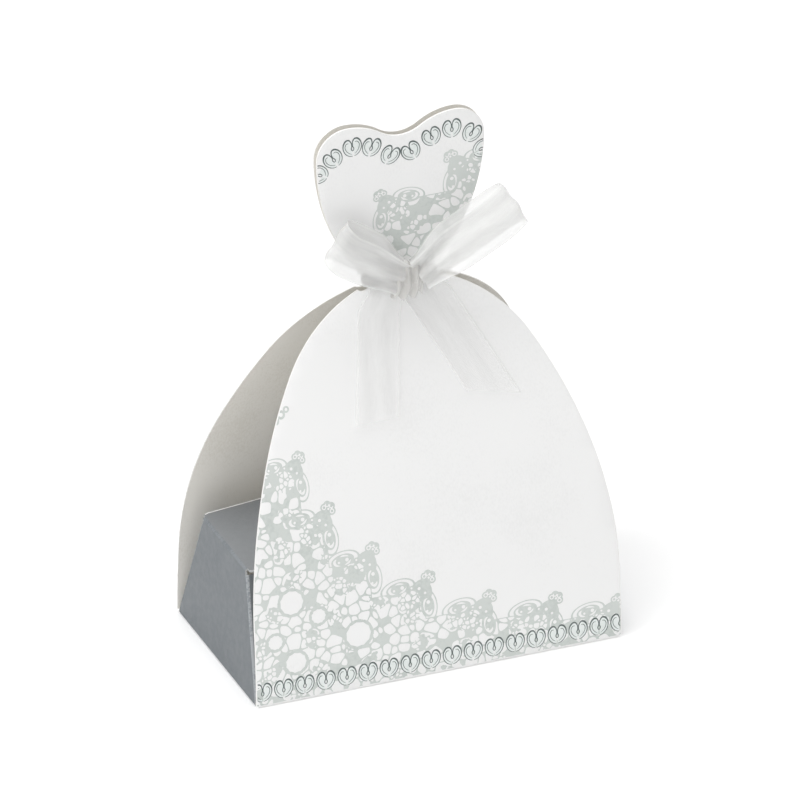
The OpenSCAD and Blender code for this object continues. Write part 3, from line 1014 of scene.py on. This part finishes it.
def print_panel(side, part, edge, body, ground, grid, lace, curls):
    """Prints lace on a panel, and a row of tinted curls along its edge."""
    panel, half_at = ground
    x, z = grid
    lace = np.maximum(lace, np.abs(x) - half_at(z) + lace_margin)
    mint_name, curl_name = f"{side}_{edge}_mint", f"{side}_{edge}_curls"
    for piece in (
        ink_film(f"{side}_{part}_lace", lace, grid, panel, lace_lift, LACE_INK),
        curl_row(mint_name, panel, curls, half_at, mint_lift, MINT_INK, filled=True),
        curl_row(curl_name, panel, curls, half_at, ink_lift, CURL_INK, filled=False),
    ):
        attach(piece, body)


for side in ("front", "back"):
    grid = print_grid(half_w, skirts[side][0].tangent + 0.05, skirt_lace_top)
    lace = lace_field(*grid, skirt_towers, 1, 11, skirt_big_holes, skirt_sprigs)
    print_panel(side, "skirt", "hem", side, skirts[side], grid, lace, hem_curls)

    grid = print_grid(bodice_w / 2, *bodice_lace_rows)
    x, z = grid
    lace = lace_field(*grid, bodice_towers, -1, 23, bodice_big_holes)
    lace = np.maximum(lace, np.maximum(-8.4 + (13 - z) * 1.03, -30) - x)
    print_panel(side, "bodice", "bodice", f"{side}_top", bodices[side], grid, lace, bodice_curls)


# ---- ribbon

film_t = 0.1
# Widths of the gathered ribbon, and how many pleats it lies in
tie_w = 2.15
tie_pleats = 5
knot_w = 7.2
knot_pleats = 3
left_gather_w = 7.4
right_gather_w = 7.2
loop_open_w = 9.9
tail_start_w = 7.2
tail_spread = 2.6
bow_pleats = 2
# Points along the tie, round the knot, along a loop and along a tail, and across each
tie_grid = (90, 71)
knot_grid = (96, 61)
loop_grid = (150, 61)
tail_grid = (90, 61)
# How far the ribbon's middle surface stays inside its CAD solid, and off the skirt
tie_clear = 0.5
knot_clear = 0.1
loop_clear = 0.15
skirt_clear = 0.3


def smooth(low, high, value):
    """0 up to low, 1 from high, and a soft step between them."""
    f = np.clip((value - low) / (high - low), 0, 1)
    return f * f * (3 - 2 * f)


def pleated(v, width, count, phase=0.0):
    """The ribbon gathered to width: where its points lie across it, and how far its pleats stand off."""
    height = np.sqrt(np.maximum(ribbon_w**2 - width**2, 0)) / (4 * count)
    return width / 2 * v, height * np.sin(math.pi * count * (v + 1) + phase), height


def ribbon_piece(name, node_name, grid, across, along, material, held, rests_on, body="front", closed=False):
    """A ribbon as a thin closed sheet. grid is its middle surface, with rows along it.

    across and along are each point's place on the flat ribbon."""
    rows, columns = grid.shape[:2]
    down = np.roll(grid, -1, 0) - np.roll(grid, 1, 0) if closed else np.gradient(grid, axis=0)
    normal = np.cross(down, np.gradient(grid, axis=1))
    normal *= film_t / 2 / np.linalg.norm(normal, axis=2)[..., None]
    points = np.concatenate([(grid + normal).reshape(-1, 3), (grid - normal).reshape(-1, 3)])
    i, j = np.meshgrid(np.arange(rows if closed else rows - 1), np.arange(columns - 1), indexing="ij")
    quad_i = np.stack([i, i + 1, i + 1, i], axis=-1).reshape(-1, 4)
    quad_j = np.stack([j, j, j + 1, j + 1], axis=-1).reshape(-1, 4)
    upper = quad_i % rows * columns + quad_j
    rim = open_edges(upper)
    count = rows * columns
    rim_faces = np.column_stack([rim[:, 1], rim[:, 0], rim[:, 0] + count, rim[:, 1] + count])
    thing = make_object(name, points, [upper, upper[:, ::-1] + count, rim_faces], [material], sharp=60)
    flat = np.stack(np.broadcast_arrays(across, along), axis=-1)
    top_uv = flat[quad_i, quad_j]
    rim_uv = flat[rim // columns, rim % columns][:, [1, 0, 0, 1]]
    weave = [part.reshape(-1, 2) for part in (top_uv, top_uv[:, ::-1], rim_uv)]
    set_uv(thing, "Weave", np.concatenate(weave))
    low, extent = flat.reshape(-1, 2).min(axis=0), np.ptp(flat.reshape(-1, 2), axis=0)
    square = (top_uv - low) / extent * (0.48, 0.98) + 0.01
    rim_square = (rim_uv - low) / extent * (0, 0.98) + (0.494, 0.01)
    rim_square[:, 2:, 0] += 0.012
    bake = [square, (square + (0.5, 0))[:, ::-1], rim_square]
    set_uv(thing, "OFBake", np.concatenate([part.reshape(-1, 2) for part in bake]))
    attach(thing, body)
    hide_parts(node_name)
    return thing


def along_path(path, count):
    """Even steps along a flat path: points, distances from its start and the way to its left at each."""
    path = np.array(path, float)
    run = np.concatenate([[0], np.cumsum(np.linalg.norm(np.diff(path, axis=0), axis=1))])
    at = np.linspace(0, run[-1], count)
    path = np.column_stack([np.interp(at, run, part) for part in path.T])
    way = np.gradient(path, axis=0)
    way /= np.linalg.norm(way, axis=1)[:, None]
    return path[:, None], at[:, None], np.column_stack([-way[:, 1], way[:, 0]])[:, None]


def tie(name, node_name, facing, body):
    """Half of the ribbon's ring round the neck, gathered to a narrow band."""
    x_out, y_out = tie_high[0] - tie_clear, -tie_low[1] - tie_clear
    r = 0.6 * y_out
    path = [(-x_out, 0), (-x_out, -(y_out - r))]
    turns = np.linspace(0.1, quarter, 14)
    path += [(-x_out + r - r * math.cos(a), -(y_out - r) - r * math.sin(a)) for a in turns]
    path += [(-x, y) for x, y in path[::-1]]
    path, at, left = along_path(path, tie_grid[0])
    v = np.linspace(-1, 1, tie_grid[1])[None, :]
    rise, stand, _ = pleated(v, tie_w, tie_pleats, 0.5 * np.sin(at * 0.9))
    flat = path - left * (stand * 0.86)[..., None]
    grid = np.zeros((*stand.shape, 3))
    grid[..., 0] = flat[..., 0]
    grid[..., 1] = flat[..., 1] * facing
    grid[..., 2] = waist_h + rise
    if facing < 0:
        grid = grid[:, ::-1]
    near = [f"{body}_bodice_card"]
    ribbon_piece(name, node_name, grid, v * ribbon_w / 2, at, ORGANZA_PAINTED_SHADE, "gathered", near, body)


def knot():
    """The knot: a pleated band that stands round the crossing of the ribbon."""
    turn = np.linspace(0, 2 * math.pi, knot_grid[0] + 1)[:-1, None]
    v = np.linspace(-1, 1, knot_grid[1])[None, :]
    half_y, half_z = knot_half[1:] - knot_clear
    width = knot_w - np.cos(turn) ** 2
    x, stand, height = pleated(v, width, knot_pleats, 0.9 * np.sin(1.5 * turn + 0.4))
    sunk = height - stand * 0.95 + 0.75 * np.abs(v) ** 2.4
    y, z = -half_y * np.cos(turn), half_z * np.sin(turn)
    slope = np.hypot(np.cos(turn) / half_y, np.sin(turn) / half_z)
    grid = np.zeros((*knot_grid, 3))
    grid[..., 0] = knot_mid[0] + x + 0.35 * np.sin(turn)
    grid[..., 1] = knot_mid[1] + y + sunk * np.cos(turn) / half_y / slope
    grid[..., 2] = knot_mid[2] + z - sunk * np.sin(turn) / half_z / slope
    around = math.pi * (3 * (half_y + half_z) - math.sqrt((3 * half_y + half_z) * (half_y + 3 * half_z)))
    along = np.linspace(0, around, knot_grid[0] + 1)[:, None]
    flat = (v * ribbon_w / 2, along)
    near = ["front_tie_ribbon"]
    ribbon_piece("bow_knot_ribbon", "bow_knot", grid, *flat, KNOT_ORGANZA_PAINTED_SHADE, "gathered", near, closed=True)


def loop(name, node_name, length, spin, front, lift, gather, seed):
    """A loop: out from the knot on its front leg, round its end and back.

    front is which local side faces forward, lift how much higher the back leg lies, and gather how wide the
    loop is at the knot."""
    belly = loop_belly / 2 - loop_clear
    end = loop_start + length - loop_belly / 2
    leg = np.linspace(0, 1, 40)
    leg_x = loop_start + (end - loop_start) * leg
    leg_y = belly * (0.5 + 0.5 * smooth(0, 1, leg))
    around = np.linspace(quarter, -quarter, 24)[1:-1]
    path = [*zip(leg_x, leg_y), *zip(end + belly * np.cos(around), belly * np.sin(around))]
    path, at, left = along_path([*path, *zip(leg_x[::-1], -leg_y[::-1])], loop_grid[0])
    whole = at[-1, 0]
    from_knot = np.minimum(at, whole - at)
    v = np.linspace(-1, 1, loop_grid[1])[None, :]
    width = gather + (loop_open_w - gather) * smooth(0, 11, from_knot)
    z, stand, _ = pleated(v, width, bow_pleats, 0.8 * np.sin(at * 0.2 + seed) + seed)
    flat = path + left * stand[..., None]
    bow = 0.35 * np.sin(math.pi * from_knot / whole * 1.6) * v**2
    local = np.zeros((*stand.shape, 3))
    local[..., 0] = flat[..., 0] - 0.5 * v**2 * smooth(0.3, 0.5, from_knot / whole)
    local[..., 1] = front * (flat[..., 1] - bow)
    local[..., 2] = z + lift * smooth(0.35, 0.6, at / whole) * smooth(0, 9, from_knot)
    turn = np.array(Euler([math.radians(a) for a in spin]).to_matrix())
    grid = local @ turn.T + np.array([knot_mid[0], knot_mid[1] - 1.1, knot_mid[2]])
    near = ["bow_knot_ribbon"]
    ribbon_piece(name, node_name, grid, v * ribbon_w / 2, at, ORGANZA_PAINTED_SHADE, "folded", near)


def tail(name, node_name, start, length, slope, cut, side, seed):
    """A tail: comes out from under the knot, then lies over the front skirt down to its slanted cut."""
    v = np.linspace(-1, 1, tail_grid[1])[None, :]
    run = np.linspace(0, 1, tail_grid[0])[:, None] * (length + side * v * cut / 2)
    width = tail_start_w + tail_spread * smooth(-1, 6, run)
    across, stand, height = pleated(v, width, bow_pleats, 0.9 * np.sin(run * 0.16 + seed) + seed)
    across = across - side * 1.2 * (1 - smooth(0, 6, run))
    c, s = math.cos(slope), math.sin(slope) * side
    left_right = side * start + run * s + across * c
    top = waist_h - tie_half - skirt_clear
    up = np.minimum(top - run * c + across * s, top)
    wave = 0.3 * (1 - np.cos(run / length * 4 + seed)) * smooth(0.3, 1, run / length)
    grid = skirts["front"][0].place(left_right, up, -(skirt_clear + height + stand * 0.9 + wave))
    near = ["front_skirt_card"]
    ribbon_piece(name, node_name, grid, v * ribbon_w / 2, run, TAIL_ORGANZA_PAINTED_LIGHT, "laid", near)


left_spin = (0, -loop_rise, 180)
right_spin = (-right_loop_turn, -loop_rise, -right_loop_yaw)
tie("front_tie_ribbon", "front_waist_tie", 1, "front")
tie("back_tie_ribbon", "back_waist_tie", -1, "back")
knot()
loop("left_loop_ribbon", "bow_left_loop", left_loop_len, left_spin, 1, 2.0, left_gather_w, 0.4)
loop("right_loop_ribbon", "bow_right_loop", right_loop_len, right_spin, -1, 1.4, right_gather_w, 1.9)
tail("left_tail_ribbon", "bow_left_tail", left_tail_x, left_tail_len, left_tail_slope, 2, -1, 0.3)
tail("right_tail_ribbon", "bow_right_tail", right_tail_x, right_tail_len, right_tail_slope, 8, 1, 2.2)


# ---- stage, light and camera

def area_light(name, at, size, power, target=(0, 0, 0.05)):
    lamp = bpy.data.lights.new(name, "AREA")
    lamp.shape = "DISK"
    lamp.size = size
    lamp.energy = power
    thing = placed(name, lamp)
    thing.location = at
    thing.rotation_euler = (Vector(target) - Vector(at)).to_track_quat("-Z", "Y").to_euler()


floor_mesh = bpy.data.meshes.new("floor")
floor_mesh.from_pydata([(-3, -3, 0), (3, -3, 0), (3, 3, 0), (-3, 3, 0)], [], [(0, 1, 2, 3)])
floor = placed("floor", floor_mesh)
paper, tree = shader("floor_paint", Roughness=0.9, Emission_Color=(1, 1, 1, 1), Emission_Strength=0.12)
paint(tree, "Base Color", ramp(tree, noise(tree, 300), (0.94, 0.94, 0.94), (0.96, 0.96, 0.96)))
floor_mesh.materials.append(paper)

world = bpy.data.worlds.new("studio")
world.use_nodes = True
background = world.node_tree.nodes["Background"]
background.inputs["Color"].default_value = (1, 1, 1, 1)
background.inputs["Strength"].default_value = 0.40
scene.world = world
area_light("key", (-0.55, -0.70, 0.62), 0.6, 1.9)
area_light("top", (0.05, 0.15, 1.1), 0.8, 6.6)
area_light("fill", (-0.62, -0.10, 0.95), 0.6, 3.4)

view_azimuth = math.radians(-22)
view_elevation = math.radians(28.75)
view_distance = 5
view_target = Vector((0.0011, 0.0020, 0.0541))
camera_data = bpy.data.cameras.new("camera")
camera_data.lens = 1042
camera_data.sensor_width = 36
camera_data.clip_start = 0.5
camera = placed("camera", camera_data)
level = math.cos(view_elevation)
view_back = Vector((math.sin(view_azimuth) * level, -math.cos(view_azimuth) * level, 0))
view_back.z = math.sin(view_elevation)
camera.location = view_target + view_back * view_distance
camera.rotation_euler = (-view_back).to_track_quat("-Z", "Y").to_euler()
scene.camera = camera
scene.view_settings.view_transform = "Standard"
